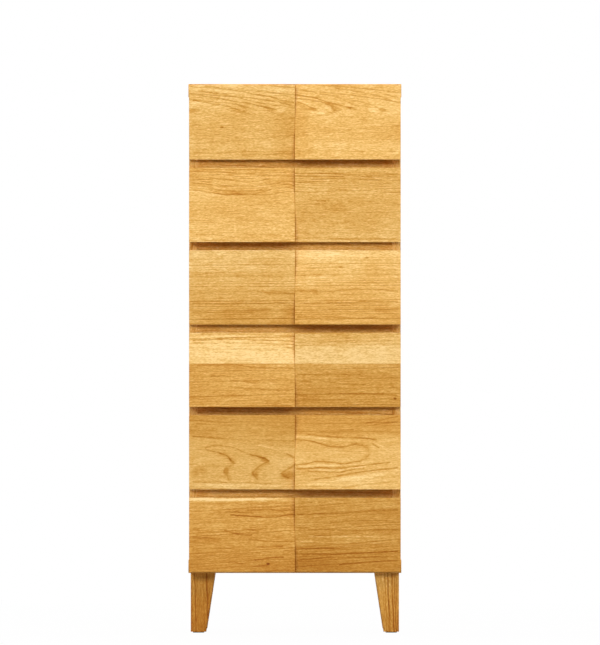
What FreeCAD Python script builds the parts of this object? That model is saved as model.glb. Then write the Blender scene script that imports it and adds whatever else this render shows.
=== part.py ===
import FreeCAD, Part

import os

import Sketcher

# A tall clothing chest: six full-width drawers in a solid oak carcass on four tapered legs.
#
# Two oak sides stand between a top and a bottom board. Five rails, ten wooden runners and
# a thin back complete the carcass. Each drawer is a dovetailed box of pale soft wood behind
# one thick oak front. The left and the right half of a front slope opposite ways, and the
# next drawer down has them the other way round, so light and shadow make a woven pattern.
# Fingers reach into the gap between two fronts and hook behind the lower edge of the upper
# one, where a stopped groove is milled, so there is no handle.
#
# Millimetres. +X to the right, -Y to the front, +Z up. The origin is on the floor, under the
# middle of the whole chest with its drawers shut.

DRAWERS = 6
RAIL_ROWS = range(1, DRAWERS)
ROWS = range(1, DRAWERS + 1)
LEFT = -1
RIGHT = 1
FRONT = -1
REAR = 1
TAILS = 3

# Where a dovetail starts and ends, as shares of the height that one tail has for itself.
TAIL_ROOT_SHARES = (0.22, 0.78)
TAIL_END_SHARES = (0.18, 0.82)
# The flat top of a screw head, as a share of its radius, and its rim, as a share of its height.
HEAD_CROWN_SHARE = 0.6
HEAD_RIM_SHARE = 0.5
# An edge counts as standing when it climbs at least this share of its length.
STANDING_SHARE = 0.9

# Driving sizes. Each is one cell of the sheet named sizes.
SIZES = {
    # Drawer fronts
    "front_width": 450,
    "front_height": 158,
    "finger_gap": 17.3,
    "thick_edge": 28,
    "thin_edge": 14,
    "front_gap": 1,
    "edge_break": 0.8,
    "pull_depth": 8,
    "pull_height": 18,
    "pull_end_stop": 40,
    # Top, bottom and side boards
    "carcass_depth": 371,
    "board_thickness": 28,
    "board_overhang": 1.5,
    "bottom_lip": 2.5,
    "top_lip": 3,
    "side_thickness": 18,
    "tongue_thickness": 8,
    "tongue_height": 8,
    "tongue_stop": 15,
    # Back panel
    "back_thickness": 5,
    "back_inset": 8,
    "back_groove_depth": 6,
    "back_groove_play": 0.2,
    "back_slack": 1,
    # Rails and runners
    "rail_height": 20,
    "rail_depth": 40,
    "rail_setback": 1,
    "tenon_length": 8,
    "tenon_shoulder": 4,
    "runner_width": 14,
    "runner_end_gap": 10,
    # Drawer boxes
    "box_side_gap": 1,
    "box_ride": 0.3,
    "box_headroom": 5.2,
    "box_back_gap": 12,
    "box_wall": 12,
    "box_floor": 5,
    "floor_lift": 8,
    "floor_groove_depth": 5,
    "floor_groove_play": 0.2,
    "floor_slack": 0.5,
    # Screws and bolts
    "screw_radius": 2,
    "screw_head_radius": 4,
    "screw_head_height": 2.4,
    "screw_point": 4,
    "screw_cover": 4,
    "hole_play": 0.05,
    "front_screw_inset": 36,
    "front_screw_spread": 140,
    "runner_screw_inset": 40,
    "bolt_radius": 4,
    "bolt_leg_bite": 30,
    "bolt_cover": 8,
    # Legs
    "leg_height": 127,
    "leg_top": 52,
    "leg_bottom": 33,
    "leg_inset": 5,
    "leg_edge": 2,
    "glide_radius": 12,
    "glide_thickness": 2,
}

# Places and fits worked out from the driving sizes. Each is one cell of the sheet named places.
PLACES = {
    "half_front": "sizes.front_width / 2",
    "half_board": "half_front + sizes.board_overhang",
    "half_inside": "half_front - sizes.side_thickness",
    "half_box": "half_inside - sizes.box_side_gap",
    "half_box_inside": "half_box - sizes.box_wall",
    "row_pitch": "sizes.front_height + sizes.finger_gap",
    # From the back of the chest to the front
    "carcass_back": "(sizes.carcass_depth + sizes.front_gap + sizes.thick_edge) / 2",
    "carcass_front": "carcass_back - sizes.carcass_depth",
    "carcass_middle": "(carcass_back + carcass_front) / 2",
    "front_seat": "carcass_front - sizes.front_gap",
    "rail_front": "carcass_front + sizes.rail_setback",
    "rail_back": "rail_front + sizes.rail_depth",
    "back_face": "carcass_back - sizes.back_inset - sizes.back_thickness",
    "back_groove_width": "sizes.back_thickness + sizes.back_groove_play",
    "back_entry": "sizes.back_groove_depth - sizes.back_slack",
    "runner_length": "back_face - sizes.runner_end_gap - rail_back",
    "box_length": "back_face - sizes.box_back_gap - front_seat",
    # From the floor up
    "inside_low": "sizes.leg_height + sizes.board_thickness",
    "lowest_front": "sizes.leg_height + sizes.bottom_lip",
    "overall_height": f"lowest_front + {DRAWERS} * row_pitch - sizes.finger_gap + sizes.top_lip",
    "inside_high": "overall_height - sizes.board_thickness",
    "inside_height": "inside_high - inside_low",
    "rail_drop": "(sizes.finger_gap + sizes.rail_height) / 2",
    "rail_rise": "sizes.rail_height - rail_drop",
    "leg_length": "sizes.leg_height - sizes.glide_thickness",
    # Box heights that leave the same headroom under whatever is above each drawer
    "box_loss": "sizes.box_ride + sizes.box_headroom",
    "box_height": "row_pitch - sizes.rail_height - box_loss",
    "top_box_height": "sizes.front_height + sizes.top_lip - sizes.board_thickness - rail_rise - box_loss",
    "bottom_box_height": "lowest_front + row_pitch - rail_drop - inside_low - box_loss",
    "floor_groove_width": "sizes.box_floor + sizes.floor_groove_play",
    "floor_entry": "sizes.floor_groove_depth - sizes.floor_slack",
    # Fasteners
    "screw_hole_radius": "sizes.screw_radius + sizes.hole_play",
    "bolt_hole_radius": "sizes.bolt_radius + sizes.hole_play",
    "front_screw_length": "sizes.box_wall + sizes.thin_edge - sizes.screw_cover",
    "runner_screw_length": "sizes.runner_width + sizes.side_thickness - sizes.screw_cover",
    "bolt_board_bite": "sizes.board_thickness - sizes.bolt_cover",
    "bolt_across": "half_board - sizes.leg_inset - sizes.leg_top / 2",
    "bolt_along": "sizes.carcass_depth / 2 - sizes.leg_inset - sizes.leg_top / 2",
    "glide_across": "half_board - sizes.leg_inset - sizes.leg_bottom / 2",
    "glide_along": "sizes.carcass_depth / 2 - sizes.leg_inset - sizes.leg_bottom / 2",
}

doc = FreeCAD.newDocument("clothing_chest")
pieces = []


# Sheets, bodies and sketches

def add_sheet(name, cells):
    """A spreadsheet with one named cell for each entry."""
    sheet = doc.addObject("Spreadsheet::Sheet", name)
    for line, (alias, content) in enumerate(cells.items(), start=1):
        sheet.set(f"A{line}", alias)
        sheet.set(f"B{line}", content)
        sheet.setAlias(f"B{line}", alias)
    doc.recompute()


def add_body(label, x="0", y="0", z="0"):
    """A new piece of the chest, placed by three expressions."""
    piece = doc.addObject("PartDesign::Body", label)
    piece.Label = label
    for axis, place in zip("xyz", (x, y, z)):
        piece.setExpression(f"Placement.Base.{axis}", place)
    pieces.append(piece)
    return piece


def origin(piece, role):
    """One of the piece's own origin planes or axes."""
    return next(datum for datum in piece.Origin.OriginFeatures if datum.Role == role)


def add_sketch(piece, name, role, rise="0"):
    """A sketch on an origin plane, lifted off it by an expression."""
    sketch = piece.newObject("Sketcher::SketchObject", f"{piece.Label}_{name}_sketch")
    sketch.AttachmentSupport = (origin(piece, role), [""])
    sketch.MapMode = "FlatFace"
    sketch.setExpression("AttachmentOffset.Base.z", rise)
    return sketch


def pin_point(sketch, geometry, point, place):
    """Dimension one point from the sketch's origin with a pair of expressions."""
    for kind, distance in zip(("DistanceX", "DistanceY"), place):
        value = sketch.evalExpression(distance)
        index = sketch.addConstraint(Sketcher.Constraint(kind, -1, 1, geometry, point, value))
        sketch.setExpression(f"Constraints[{index}]", distance)


def draw_outline(sketch, corners):
    """A closed outline of straight lines through corners given as expressions."""
    count = len(corners)
    spots = [FreeCAD.Vector(*(sketch.evalExpression(value) for value in corner), 0) for corner in corners]
    first = sketch.GeometryCount
    for index, spot in enumerate(spots):
        sketch.addGeometry(Part.LineSegment(spot, spots[(index + 1) % count]), False)
    for index in range(count):
        follower = first + (index + 1) % count
        sketch.addConstraint(Sketcher.Constraint("Coincident", first + index, 2, follower, 1))
    for index, corner in enumerate(corners):
        pin_point(sketch, first + index, 1, corner)


def draw_rectangle(sketch, low, high):
    """A rectangle between two opposite corners."""
    draw_outline(sketch, [low, (high[0], low[1]), high, (low[0], high[1])])


def draw_circle(sketch, centre, radius):
    """A circle with its centre and radius given as expressions."""
    spot = FreeCAD.Vector(*(sketch.evalExpression(value) for value in centre), 0)
    size = sketch.evalExpression(radius)
    circle = sketch.addGeometry(Part.Circle(spot, FreeCAD.Vector(0, 0, 1), size), False)
    pin_point(sketch, circle, 3, centre)
    index = sketch.addConstraint(Sketcher.Constraint("Radius", circle, size))
    sketch.setExpression(f"Constraints[{index}]", radius)


# Features

def add_pad(piece, name, sketch, length, against=False, both_ways=False):
    """Material added along the sketch's normal, against it, or half each way."""
    pad = piece.newObject("PartDesign::Pad", f"{piece.Label}_{name}")
    pad.Profile = sketch
    pad.setExpression("Length", length)
    pad.Reversed = against
    if both_ways:
        pad.SideType = "Symmetric"
    return pad


def add_pocket(piece, name, sketch, length, along=False):
    """Material removed against the sketch's normal, or along it."""
    pocket = piece.newObject("PartDesign::Pocket", f"{piece.Label}_{name}")
    pocket.Profile = sketch
    pocket.setExpression("Length", length)
    pocket.Reversed = along
    return pocket


def add_chamfer(piece, size, is_chosen):
    """A chamfer on the edges of the piece so far that is_chosen picks."""
    doc.recompute()
    base = piece.Tip
    names = [f"Edge{index}" for index, edge in enumerate(base.Shape.Edges, start=1) if is_chosen(edge)]
    if not names:
        raise RuntimeError(f"{piece.Label} has no edge to chamfer")
    chamfer = piece.newObject("PartDesign::Chamfer", f"{piece.Label}_chamfer")
    chamfer.Base = (base, names)
    chamfer.setExpression("Size", size)


def is_standing(edge):
    """True for an edge that climbs steeply."""
    return edge.BoundBox.ZLength > STANDING_SHARE * edge.Length


def add_mirror(piece, role):
    """One step of a repeat: a mirror image across an origin plane."""
    mirror = piece.newObject("PartDesign::Mirrored", f"{piece.Label}_mirror")
    mirror.MirrorPlane = (origin(piece, role), [""])
    return mirror


def add_row(piece, role, length, count):
    """One step of a repeat: equal spaces along an origin axis, length from first to last."""
    row = piece.newObject("PartDesign::LinearPattern", f"{piece.Label}_row")
    row.Direction = (origin(piece, role), [""])
    row.Mode = "Extent"
    row.setExpression("Length", length)
    row.Occurrences = count
    return row


def repeat(piece, features, steps):
    """The features repeated by each step in turn, as separate solids of one piece."""
    pattern = piece.newObject("PartDesign::MultiTransform", f"{piece.Label}_repeat")
    pattern.Originals = features
    pattern.Transformations = steps
    piece.Tip = pattern


# Heights of the rows, from the top drawer, row 1, to the bottom one

def front_low(row):
    """Lower edge of a row's drawer front."""
    return f"places.lowest_front + {DRAWERS - row} * places.row_pitch"


def rail_low(row):
    """Underside of the rail and the runners below a row."""
    return f"{front_low(row)} - places.rail_drop"


def box_low(row):
    """Lower edge of a row's drawer box, which rides just clear of what it slides on."""
    if row == DRAWERS:
        return "places.inside_low + sizes.box_ride"
    return f"{front_low(row)} + places.rail_rise + sizes.box_ride"


def box_height(row):
    """Height of a row's drawer box."""
    if row == 1:
        return "places.top_box_height"
    if row == DRAWERS:
        return "places.bottom_box_height"
    return "places.box_height"


# Carcass

def make_board(label, low, inner_face, pocket_along):
    """The top or the bottom board, with grooves for the sides' tongues and the back."""
    board = add_body(label, y="places.carcass_front", z=low)
    slab = add_sketch(board, "slab", "XY_Plane")
    draw_rectangle(slab, ("-places.half_board", "0"), ("places.half_board", "sizes.carcass_depth"))
    add_pad(board, "slab", slab, "sizes.board_thickness")
    add_chamfer(board, "sizes.edge_break", lambda edge: True)

    housing = add_sketch(board, "housing", "XY_Plane", inner_face)
    for side in (LEFT, RIGHT):
        outer = f"{side} * (places.half_front - (sizes.side_thickness - sizes.tongue_thickness) / 2)"
        inner = f"{side} * (places.half_front - (sizes.side_thickness + sizes.tongue_thickness) / 2)"
        draw_rectangle(
            housing,
            (outer, "sizes.tongue_stop"),
            (inner, "sizes.carcass_depth - sizes.tongue_stop"),
        )
    add_pocket(board, "housing", housing, "sizes.tongue_height", along=pocket_along)

    groove = add_sketch(board, "back_groove", "XY_Plane", inner_face)
    reach = "places.half_inside + sizes.back_groove_depth"
    rear = "sizes.carcass_depth - sizes.back_inset"
    draw_rectangle(groove, (f"-({reach})", f"{rear} - places.back_groove_width"), (reach, rear))
    add_pocket(board, "back_groove", groove, "sizes.back_groove_depth", along=pocket_along)
    return board


def make_top_board():
    make_board("top_board", "places.inside_high", "0", True)


def make_bottom_board():
    """The bottom board also takes the four bolts of the legs from below."""
    board = make_board("bottom_board", "sizes.leg_height", "sizes.board_thickness", False)
    holes = add_sketch(board, "bolt_holes", "XY_Plane")
    for side in (LEFT, RIGHT):
        for end in (FRONT, REAR):
            centre = (
                f"{side} * places.bolt_across",
                f"sizes.carcass_depth / 2 + {end} * places.bolt_along",
            )
            draw_circle(holes, centre, "places.bolt_hole_radius")
    add_pocket(board, "bolt_holes", holes, "places.bolt_board_bite", along=True)


def make_side(label, side):
    """A side panel: tongues at both ends, mortises for the rails, pilot holes for the runners."""
    panel = add_body(label, f"{side} * places.half_front", "places.carcass_front", "places.inside_low")
    inner = f"{-side} * sizes.side_thickness"
    outline = add_sketch(panel, "panel", "XY_Plane")
    draw_rectangle(outline, ("0", "0"), (inner, "sizes.carcass_depth"))
    add_pad(panel, "panel", outline, "places.inside_height")
    add_chamfer(panel, "sizes.edge_break", is_standing)

    for end, rise in (("lower", "0"), ("upper", "places.inside_height")):
        tongue = add_sketch(panel, f"{end}_tongue", "XY_Plane", rise)
        near = f"{-side} * (sizes.side_thickness - sizes.tongue_thickness) / 2"
        far = f"{-side} * (sizes.side_thickness + sizes.tongue_thickness) / 2"
        draw_rectangle(
            tongue,
            (near, "sizes.tongue_stop"),
            (far, "sizes.carcass_depth - sizes.tongue_stop"),
        )
        add_pad(panel, f"{end}_tongue", tongue, "sizes.tongue_height", against=end == "lower")

    groove = add_sketch(panel, "back_groove", "XY_Plane")
    rear = "sizes.carcass_depth - sizes.back_inset"
    groove_floor = f"{-side} * (sizes.side_thickness - sizes.back_groove_depth)"
    draw_rectangle(groove, (groove_floor, f"{rear} - places.back_groove_width"), (inner, rear))
    add_pocket(panel, "back_groove", groove, "places.inside_height", along=True)

    mortises = add_sketch(panel, "mortises", "YZ_Plane", inner)
    pilots = add_sketch(panel, "pilots", "YZ_Plane", inner)
    for row in RAIL_ROWS:
        low = f"{rail_low(row)} - places.inside_low"
        tenon_low = f"{low} + sizes.tenon_shoulder"
        tenon_high = f"{low} + sizes.rail_height - sizes.tenon_shoulder"
        tenon_front = "sizes.rail_setback + sizes.tenon_shoulder"
        tenon_back = "sizes.rail_setback + sizes.rail_depth - sizes.tenon_shoulder"
        draw_rectangle(mortises, (tenon_front, tenon_low), (tenon_back, tenon_high))
        for place in runner_screw_places():
            along = f"places.rail_back - places.carcass_front + {place}"
            draw_circle(pilots, (along, f"{low} + sizes.rail_height / 2"), "places.screw_hole_radius")
    add_pocket(panel, "mortises", mortises, "sizes.tenon_length", along=side == RIGHT)
    bite = "sizes.side_thickness - sizes.screw_cover"
    add_pocket(panel, "pilots", pilots, bite, along=side == RIGHT)


def make_back_panel():
    """A thin panel held in grooves on all four sides."""
    panel = add_body("back_panel", y="places.back_face", z="places.inside_low - places.back_entry")
    outline = add_sketch(panel, "panel", "XY_Plane")
    half = "(places.half_inside + places.back_entry)"
    draw_rectangle(outline, (f"-{half}", "0"), (half, "sizes.back_thickness"))
    add_pad(panel, "panel", outline, "places.inside_height + 2 * places.back_entry")


def make_front_rail(row):
    """The rail between two drawers, with a stub tenon at each end."""
    rail = add_body(f"front_rail_{row}", y="places.rail_front", z=rail_low(row))
    bar = add_sketch(rail, "bar", "XY_Plane")
    draw_rectangle(bar, ("-places.half_inside", "0"), ("places.half_inside", "sizes.rail_depth"))
    add_pad(rail, "bar", bar, "sizes.rail_height")
    tenon = add_sketch(rail, "tenon", "YZ_Plane")
    draw_rectangle(
        tenon,
        ("sizes.tenon_shoulder", "sizes.tenon_shoulder"),
        ("sizes.rail_depth - sizes.tenon_shoulder", "sizes.rail_height - sizes.tenon_shoulder"),
    )
    add_pad(rail, "tenon", tenon, "2 * (places.half_inside + sizes.tenon_length)", both_ways=True)


def runner_screw_places():
    """How far behind the front end of a runner its two screws sit."""
    return ("sizes.runner_screw_inset", "places.runner_length - sizes.runner_screw_inset")


def make_runners():
    """A pair of runners behind each rail, level with it."""
    runners = add_body("drawer_runners", y="places.rail_back", z=rail_low(DRAWERS - 1))
    bar = add_sketch(runners, "bar", "XY_Plane")
    inner = "places.half_inside - sizes.runner_width"
    draw_rectangle(bar, (inner, "0"), ("places.half_inside", "places.runner_length"))
    pad = add_pad(runners, "bar", bar, "sizes.rail_height")
    holes = add_sketch(runners, "holes", "YZ_Plane", inner)
    for place in runner_screw_places():
        draw_circle(holes, (place, "sizes.rail_height / 2"), "places.screw_hole_radius")
    pocket = add_pocket(runners, "holes", holes, "sizes.runner_width", along=True)
    stack = add_row(runners, "Z_Axis", f"{DRAWERS - 2} * places.row_pitch", DRAWERS - 1)
    repeat(runners, [pad, pocket], [add_mirror(runners, "YZ_Plane"), stack])


# Screws and bolts

def screw_outline(length):
    """Half the section of a pan-head screw: pairs of a place along it and a radius."""
    crown = f"sizes.screw_head_radius * {HEAD_CROWN_SHARE}"
    rim = f"-sizes.screw_head_height * {HEAD_RIM_SHARE}"
    return [
        ("-sizes.screw_head_height", "0"),
        ("-sizes.screw_head_height", crown),
        (rim, "sizes.screw_head_radius"),
        ("0", "sizes.screw_head_radius"),
        ("0", "sizes.screw_radius"),
        (f"{length} - sizes.screw_point", "sizes.screw_radius"),
        (length, "0"),
    ]


def add_turned(piece, corners, axis):
    """A solid of revolution about an axis of its own sketch."""
    sketch = add_sketch(piece, "section", "XY_Plane")
    draw_outline(sketch, corners)
    turned = piece.newObject("PartDesign::Revolution", f"{piece.Label}_turned")
    turned.Profile = sketch
    turned.ReferenceAxis = (sketch, [axis])
    return turned


def make_runner_screws():
    """Two screws through each runner into the side behind it."""
    screws = add_body(
        "runner_screws",
        y="places.rail_back + sizes.runner_screw_inset",
        z=f"{rail_low(DRAWERS - 1)} + sizes.rail_height / 2",
    )
    start = "places.half_inside - sizes.runner_width"
    outline = screw_outline("places.runner_screw_length")
    corners = [(f"{start} + {along}", radius) for along, radius in outline]
    screw = add_turned(screws, corners, "H_Axis")
    steps = [
        add_mirror(screws, "YZ_Plane"),
        add_row(screws, "Y_Axis", "places.runner_length - 2 * sizes.runner_screw_inset", 2),
        add_row(screws, "Z_Axis", f"{DRAWERS - 2} * places.row_pitch", DRAWERS - 1),
    ]
    repeat(screws, [screw], steps)


def make_leg_bolts():
    """A headless bolt between each leg and the bottom board."""
    bolts = add_body("leg_bolts", y="places.carcass_middle", z="sizes.leg_height - sizes.bolt_leg_bite")
    section = add_sketch(bolts, "section", "XY_Plane")
    draw_circle(section, ("places.bolt_across", "places.bolt_along"), "sizes.bolt_radius")
    bolt = add_pad(bolts, "bolt", section, "sizes.bolt_leg_bite + places.bolt_board_bite")
    repeat(bolts, [bolt], [add_mirror(bolts, "YZ_Plane"), add_mirror(bolts, "XZ_Plane")])


# Legs

def leg_section(width, side, end):
    """A square with broken corners, drawn inwards from the outer corner of the leg."""
    near = "sizes.leg_edge"
    far = f"{width} - sizes.leg_edge"
    across = [near, far, width, width, far, near, "0", "0"]
    along = ["0", "0", near, far, width, width, far, near]
    return [(f"{-side} * ({x})", f"{-end} * ({y})") for x, y in zip(across, along)]


def make_leg(label, side, end):
    """A leg whose outer faces are upright and whose inner faces taper down to the floor."""
    ends = {FRONT: "places.carcass_front + sizes.leg_inset", REAR: "places.carcass_back - sizes.leg_inset"}
    leg = add_body(
        label,
        f"{side} * (places.half_board - sizes.leg_inset)",
        ends[end],
        "sizes.glide_thickness",
    )
    foot = add_sketch(leg, "foot", "XY_Plane")
    draw_outline(foot, leg_section("sizes.leg_bottom", side, end))
    head = add_sketch(leg, "head", "XY_Plane", "places.leg_length")
    draw_outline(head, leg_section("sizes.leg_top", side, end))
    loft = leg.newObject("PartDesign::AdditiveLoft", f"{label}_loft")
    loft.Profile = foot
    loft.Sections = [head]
    loft.Ruled = True

    hole = add_sketch(leg, "bolt_hole", "XY_Plane", "places.leg_length")
    centre = (f"{-side} * sizes.leg_top / 2", f"{-end} * sizes.leg_top / 2")
    draw_circle(hole, centre, "places.bolt_hole_radius")
    add_pocket(leg, "bolt_hole", hole, "sizes.bolt_leg_bite")


def make_leg_glides():
    """A felt disc under each leg."""
    glides = add_body("leg_glides", y="places.carcass_middle")
    section = add_sketch(glides, "section", "XY_Plane")
    draw_circle(section, ("places.glide_across", "places.glide_along"), "sizes.glide_radius")
    glide = add_pad(glides, "glide", section, "sizes.glide_thickness")
    repeat(glides, [glide], [add_mirror(glides, "YZ_Plane"), add_mirror(glides, "XZ_Plane")])


# Drawers

def front_screw_heights(row):
    """Heights of the two rows of screws above the lower edge of a drawer box."""
    return ("sizes.front_screw_inset", f"{box_height(row)} - sizes.front_screw_inset")


def half_profile(low, high):
    """Section of one half of a front, its thickness going from low at the bottom to high at the top."""
    return [
        ("0", "0"),
        (f"sizes.edge_break - {low}", "0"),
        (f"-{low}", "sizes.edge_break"),
        (f"-{high}", "sizes.front_height - sizes.edge_break"),
        (f"sizes.edge_break - {high}", "sizes.front_height"),
        ("0", "sizes.front_height"),
    ]


def make_front_panel(row):
    """One solid front whose two halves slope opposite ways, swapped from row to row."""
    front = add_body(f"front_panel_{row}", y="places.front_seat", z=front_low(row))
    slopes = [("sizes.thin_edge", "sizes.thick_edge"), ("sizes.thick_edge", "sizes.thin_edge")]
    if row % 2 == 0:
        slopes.reverse()
    for name, against, (low, high) in (("left", True, slopes[0]), ("right", False, slopes[1])):
        profile = add_sketch(front, name, "YZ_Plane")
        draw_outline(profile, half_profile(low, high))
        add_pad(front, name, profile, "places.half_front", against=against)

    def is_end_edge(edge):
        """True for the two long edges where the face meets the ends."""
        middle = edge.CenterOfMass
        near_end = abs(middle.x) > doc.places.half_front / 2
        near_face = -middle.y > doc.sizes.thin_edge / 2
        return is_standing(edge) and near_end and near_face

    add_chamfer(front, "sizes.edge_break", is_end_edge)

    groove = add_sketch(front, "pull", "XY_Plane")
    half = "places.half_front - sizes.pull_end_stop"
    draw_rectangle(groove, (f"-({half})", "-sizes.pull_depth"), (half, "0"))
    add_pocket(front, "pull", groove, "sizes.pull_height", along=True)

    pilots = add_sketch(front, "pilots", "XZ_Plane")
    for height in front_screw_heights(row):
        for side in (LEFT, RIGHT):
            place = f"{box_low(row)} - ({front_low(row)}) + {height}"
            centre = (f"{side} * sizes.front_screw_spread", place)
            draw_circle(pilots, centre, "places.screw_hole_radius")
    add_pocket(front, "pilots", pilots, "sizes.thin_edge - sizes.screw_cover", along=True)


def tail_corners(row, index, root, end):
    """The four corners of one dovetail, from a place at its root to a place at its end."""
    pitch = f"{box_height(row)} / {TAILS}"
    root_low, root_high = (f"{pitch} * {index + share}" for share in TAIL_ROOT_SHARES)
    end_low, end_high = (f"{pitch} * {index + share}" for share in TAIL_END_SHARES)
    return [(root, root_low), (end, end_low), (end, end_high), (root, root_high)]


def add_floor_groove(piece, role, rise, low, high, along):
    """The groove that holds the floor of the drawer box, cut into an inner face."""
    groove = add_sketch(piece, "floor_groove", role, rise)
    top = "sizes.floor_lift + places.floor_groove_width"
    draw_rectangle(groove, (low, "sizes.floor_lift"), (high, top))
    add_pocket(piece, "floor_groove", groove, "sizes.floor_groove_depth", along=along)


def make_box_side(label, row, side):
    """A side of the drawer box, with dovetails at both ends."""
    panel = add_body(label, f"{side} * places.half_box", "places.front_seat", box_low(row))
    rear_root = "places.box_length - sizes.box_wall"
    corners = [("sizes.box_wall", "0")]
    for index in range(TAILS):
        corners += tail_corners(row, index, "sizes.box_wall", "0")
    corners += [("sizes.box_wall", box_height(row)), (rear_root, box_height(row))]
    for index in reversed(range(TAILS)):
        corners += reversed(tail_corners(row, index, rear_root, "places.box_length"))
    corners += [(rear_root, "0")]
    outline = add_sketch(panel, "panel", "YZ_Plane")
    draw_outline(outline, corners)
    add_pad(panel, "panel", outline, "sizes.box_wall", against=side == RIGHT)

    low = "sizes.box_wall - sizes.floor_groove_depth"
    high = f"places.box_length - ({low})"
    add_floor_groove(panel, "YZ_Plane", f"{-side} * sizes.box_wall", low, high, side == RIGHT)


def make_box_end(label, row, end):
    """The front or the back of the drawer box, with the sockets of the dovetails."""
    places = {FRONT: "places.front_seat", REAR: "places.front_seat + places.box_length - sizes.box_wall"}
    panel = add_body(label, y=places[end], z=box_low(row))
    outline = add_sketch(panel, "panel", "XY_Plane")
    draw_rectangle(outline, ("-places.half_box", "0"), ("places.half_box", "sizes.box_wall"))
    add_pad(panel, "panel", outline, box_height(row))

    root, tip = ("sizes.box_wall", "0") if end == FRONT else ("0", "sizes.box_wall")
    for name, side in (("left", LEFT), ("right", RIGHT)):
        sockets = add_sketch(panel, f"{name}_sockets", "YZ_Plane", f"{side} * places.half_box")
        for index in range(TAILS):
            draw_outline(sockets, tail_corners(row, index, root, tip))
        add_pocket(panel, f"{name}_sockets", sockets, "sizes.box_wall", along=side == LEFT)

    reach = "(places.half_box_inside + sizes.floor_groove_depth)"
    inner = "-sizes.box_wall" if end == FRONT else "0"
    add_floor_groove(panel, "XZ_Plane", inner, f"-{reach}", reach, end == FRONT)
    return panel


def make_box_front(row):
    """The front of the drawer box also has the four holes for the screws that hold the front."""
    panel = make_box_end(f"box_front_{row}", row, FRONT)
    holes = add_sketch(panel, "holes", "XZ_Plane")
    for height in front_screw_heights(row):
        for side in (LEFT, RIGHT):
            centre = (f"{side} * sizes.front_screw_spread", height)
            draw_circle(holes, centre, "places.screw_hole_radius")
    add_pocket(panel, "holes", holes, "sizes.box_wall")


def make_box_floor(row):
    """The floor of the drawer box, in the grooves of its four walls."""
    panel = add_body(
        f"box_bottom_{row}",
        y="places.front_seat + sizes.box_wall - places.floor_entry",
        z=f"{box_low(row)} + sizes.floor_lift",
    )
    outline = add_sketch(panel, "panel", "XY_Plane")
    half = "(places.half_box_inside + places.floor_entry)"
    length = "places.box_length - 2 * (sizes.box_wall - places.floor_entry)"
    draw_rectangle(outline, (f"-{half}", "0"), (half, length))
    add_pad(panel, "panel", outline, "sizes.box_floor")


def make_front_screws(row):
    """Four screws from inside the box into the back of the front."""
    low, high = front_screw_heights(row)
    screws = add_body(
        f"front_screws_{row}",
        "-sizes.front_screw_spread",
        "places.front_seat + sizes.box_wall",
        f"{box_low(row)} + {low}",
    )
    corners = [(radius, f"-({along})") for along, radius in screw_outline("places.front_screw_length")]
    screw = add_turned(screws, corners, "V_Axis")
    steps = [
        add_row(screws, "X_Axis", "2 * sizes.front_screw_spread", 2),
        add_row(screws, "Z_Axis", f"{high} - {low}", 2),
    ]
    repeat(screws, [screw], steps)


def make_drawer(row):
    make_front_panel(row)
    make_box_front(row)
    make_box_end(f"box_back_{row}", row, REAR)
    make_box_side(f"box_left_{row}", row, LEFT)
    make_box_side(f"box_right_{row}", row, RIGHT)
    make_box_floor(row)
    make_front_screws(row)


def make_chest():
    add_sheet("sizes", {name: str(value) for name, value in SIZES.items()})
    add_sheet("places", {name: f"={formula}" for name, formula in PLACES.items()})
    make_top_board()
    make_bottom_board()
    make_side("left_side", LEFT)
    make_side("right_side", RIGHT)
    make_back_panel()
    for row in RAIL_ROWS:
        make_front_rail(row)
    for end_name, end in (("front", FRONT), ("rear", REAR)):
        for side_name, side in (("left", LEFT), ("right", RIGHT)):
            make_leg(f"leg_{end_name}_{side_name}", side, end)
    make_runners()
    make_runner_screws()
    make_leg_bolts()
    make_leg_glides()
    for row in ROWS:
        make_drawer(row)
    doc.recompute()


def check_model():
    """Stop if anything failed, if a cut removed nothing, or if a piece isn't a sound solid."""
    for thing in doc.Objects:
        if "Invalid" in thing.State or "Error" in thing.State:
            raise RuntimeError(f"{thing.Name} failed: {thing.State}")
    for pocket in doc.findObjects("PartDesign::Pocket"):
        if pocket.Shape.Volume >= pocket.BaseFeature.Shape.Volume:
            raise RuntimeError(f"{pocket.Name} removes nothing")
    for piece in pieces:
        shape = piece.Shape
        if shape.isNull() or not shape.isValid() or not shape.Solids:
            raise RuntimeError(f"{piece.Label} is not a valid solid")


def write_parts():
    """One STEP file for each piece, and a line that says what it holds."""
    os.makedirs("parts", exist_ok=True)
    whole = FreeCAD.BoundBox()
    for piece in pieces:
        piece.Shape.exportStep(f"parts/{piece.Label}.step")
        whole.add(piece.Shape.BoundBox)
        print(f"{piece.Label}: {len(piece.Shape.Solids)} solids, {piece.Shape.Volume / 1000:.1f} cm3")
    print(f"{len(pieces)} pieces, {whole.XLength:.1f} x {whole.YLength:.1f} x {whole.ZLength:.1f} mm")


make_chest()
check_model()
write_parts()
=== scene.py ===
# %% [markdown]
# # A tall oak chest of six drawers
#
# The chest stands on four tapered legs. Each drawer front is one oak board as wide as the chest. Its
# left half is planed to lean one way and its right half to lean the other, and the next row has the
# two swapped, so the light draws a chequered pattern with no handle and no metal.
#
# The CAD model comes with every piece at its real size and place, in metres, X to the right, the
# front towards -Y and Z up. This script gives those pieces their edges, finishes, light and camera.
# The model is loaded first, and its box is kept, because the looks may not change the size.

# %% Load the model
import math

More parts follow.
